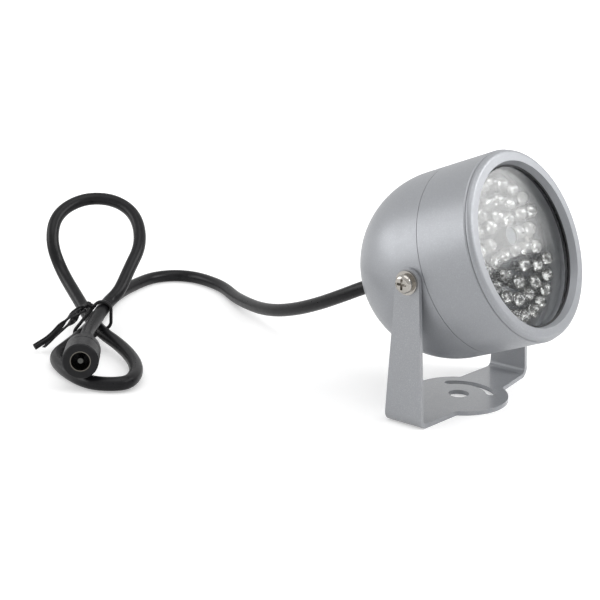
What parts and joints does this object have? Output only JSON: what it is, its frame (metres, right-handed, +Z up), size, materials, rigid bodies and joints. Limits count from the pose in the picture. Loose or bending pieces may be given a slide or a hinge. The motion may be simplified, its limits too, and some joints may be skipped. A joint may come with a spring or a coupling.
{
  "type": "infrared illuminator",
  "caption": "Round infrared lamp head that tilts in a folded U bracket, with rings of clear emitters behind a window and a short bundled cord with a supply socket.",
  "frame": {"origin": "centre of the bracket's base disc, on its underside", "axes": "+Z up from the base, the lamp faces -Y, the tilt axis runs along X"},
  "size_m": [0.1385, 0.2289, 0.0921],
  "materials": {
    "silver_paint": "semi-gloss metallic silver-grey paint",
    "seal_rubber": "matt black rubber",
    "window_glass": "clear polished glass",
    "board_green": "dark solder mask",
    "clear_emitter": "clear moulded epoxy",
    "sleeve_black": "matt black",
    "sensor_face": "clear coated light sensor",
    "screw_steel": "plated steel",
    "resistor_blue": "lacquered",
    "wire_red": "red insulation",
    "cord_black": "satin black cord sheath",
    "tie_black": "satin black coated wire",
    "socket_black": "semi-gloss black moulding",
    "contact_metal": "plated contact"
  },
  "bodies": {
    "bracket": {"bracket": "silver_paint", "cord_lead": "cord_black", "cord_bundle": "cord_black", "twist_tie": "tie_black", "socket_body": "socket_black", "socket_sleeve": "contact_metal", "socket_pin": "contact_metal"},
    "head": {"rear_housing": "silver_paint", "front_housing": "silver_paint", "bezel_ring": "silver_paint", "housing_seal": "seal_rubber", "front_window_seal": "seal_rubber", "rear_window_seal": "seal_rubber", "window_glass": "window_glass", "emitter_board": "board_green", "outer_emitters": "clear_emitter", "middle_emitters": "clear_emitter", "inner_emitters": "clear_emitter", "sensor_sleeve": "sleeve_black", "light_sensor": "sensor_face", "left_tilt_screw": "screw_steel", "right_tilt_screw": "screw_steel", "left_washer": "screw_steel", "right_washer": "screw_steel", "left_board_screw": "screw_steel", "right_board_screw": "screw_steel", "cord_gland": "seal_rubber", "cord_inner_end": "cord_black", "cord_stop": "sleeve_black", "series_resistors": "resistor_blue", "polarity_diode": "sleeve_black", "switching_transistor": "sleeve_black", "red_wire": "wire_red", "black_wire": "cord_black"}
  },
  "joints": [
    {"name": "head_tilt", "type": "hinge", "parent": "bracket", "child": "head", "pos_m": [0, 0, 0.0513], "axis": [1, 0, 0], "range_deg": [-37.5, 82.5], "deforming": ["cord_lead"]}
  ]
}
